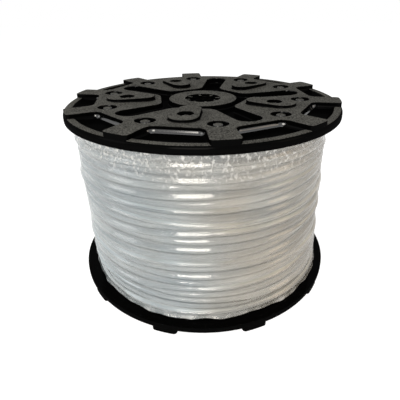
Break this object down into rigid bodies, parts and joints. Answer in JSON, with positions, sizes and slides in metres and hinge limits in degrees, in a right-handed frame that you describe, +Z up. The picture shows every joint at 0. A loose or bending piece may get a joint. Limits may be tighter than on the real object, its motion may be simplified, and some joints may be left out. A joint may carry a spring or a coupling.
{
  "type": "string reel",
  "caption": "Plastic reel with two lugged, slotted flanges screwed to a hollow drum, wound with coarse translucent string under clear stretch film.",
  "frame": {"origin": "on the reel's axis, at the surface that the lower flange's pads stand on", "axes": "+Z up along the reel's axis; -Y towards the side that the picture shows"},
  "size_m": [0.305, 0.305, 0.213],
  "materials": {
    "flange_plastic": "satin-gloss moulded black",
    "drum_plastic": "plain moulded black",
    "screw_steel": "dark oxide, slightly oiled",
    "string_plastic": "milky, translucent, smooth",
    "clear_film": "clear crinkled stretch film"
  },
  "bodies": {
    "root": {"upper_flange": "flange_plastic", "lower_flange": "flange_plastic", "drum": "drum_plastic", "string_inner_layers": "string_plastic", "string_outer_layer": "string_plastic", "stretch_film": "clear_film", "upper_screw_1": "screw_steel", "upper_washer_1": "screw_steel", "upper_screw_2": "screw_steel", "upper_washer_2": "screw_steel", "upper_screw_3": "screw_steel", "upper_washer_3": "screw_steel", "upper_screw_4": "screw_steel", "upper_washer_4": "screw_steel", "upper_screw_5": "screw_steel", "upper_washer_5": "screw_steel", "lower_screw_1": "screw_steel", "lower_washer_1": "screw_steel", "lower_screw_2": "screw_steel", "lower_washer_2": "screw_steel", "lower_screw_3": "screw_steel", "lower_washer_3": "screw_steel", "lower_screw_4": "screw_steel", "lower_washer_4": "screw_steel", "lower_screw_5": "screw_steel", "lower_washer_5": "screw_steel"}
  },
  "joints": []
}
